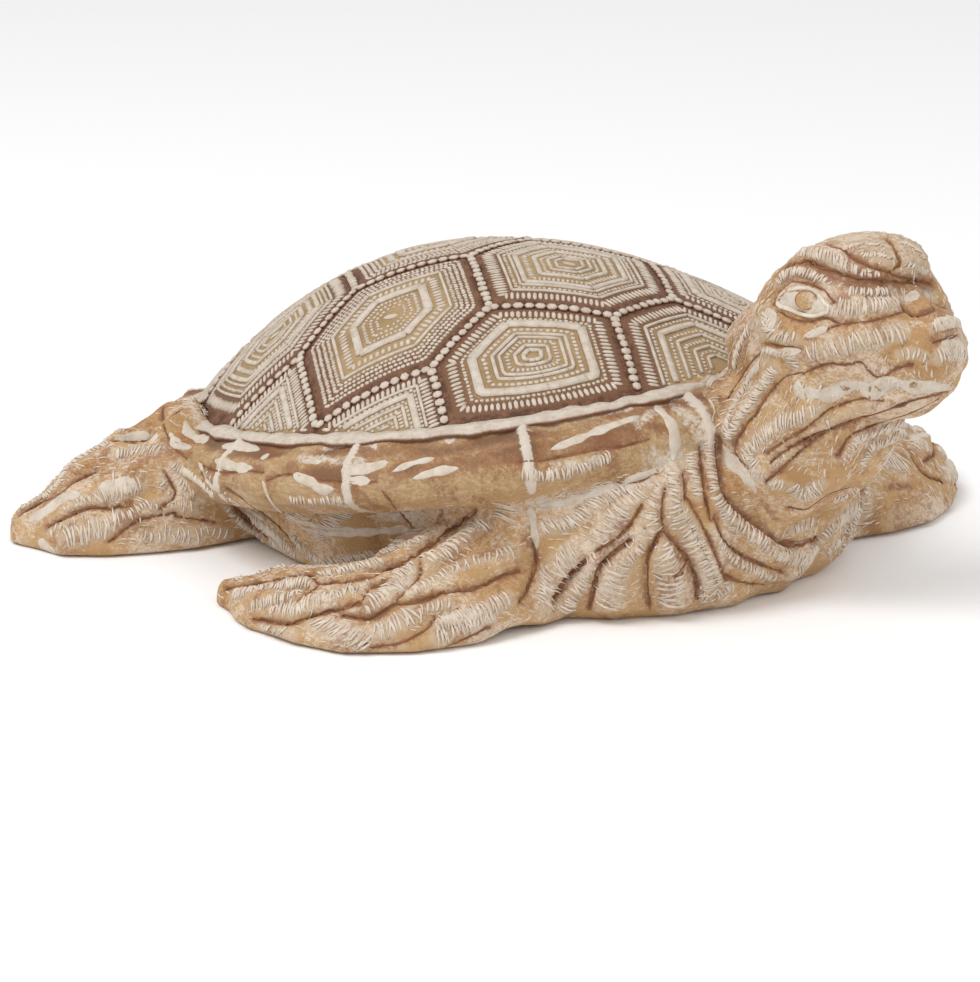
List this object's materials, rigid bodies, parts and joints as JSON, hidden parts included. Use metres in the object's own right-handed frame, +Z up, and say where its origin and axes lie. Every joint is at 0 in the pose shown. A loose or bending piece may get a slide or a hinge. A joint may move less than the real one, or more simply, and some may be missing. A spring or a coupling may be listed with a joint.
{
  "type": "sea turtle figurine",
  "caption": "Carved wood sea turtle lying on its belly and flippers with raised head, plated domed shell with a rolled edge, folded skin and a limewashed finish",
  "frame": {"origin": "middle of the bounding box in plan, on the ground plane under the belly", "axes": "+X towards the head along the turtle's middle line, +Y to the turtle's left, +Z up"},
  "size_m": [0.2712, 0.2456, 0.1025],
  "materials": {
    "carved_wood": "matt ochre wood with brown stain in the cuts and cream limewash on the raised lines"
  },
  "bodies": {
    "root": {"turtle": "carved_wood"}
  },
  "joints": []
}
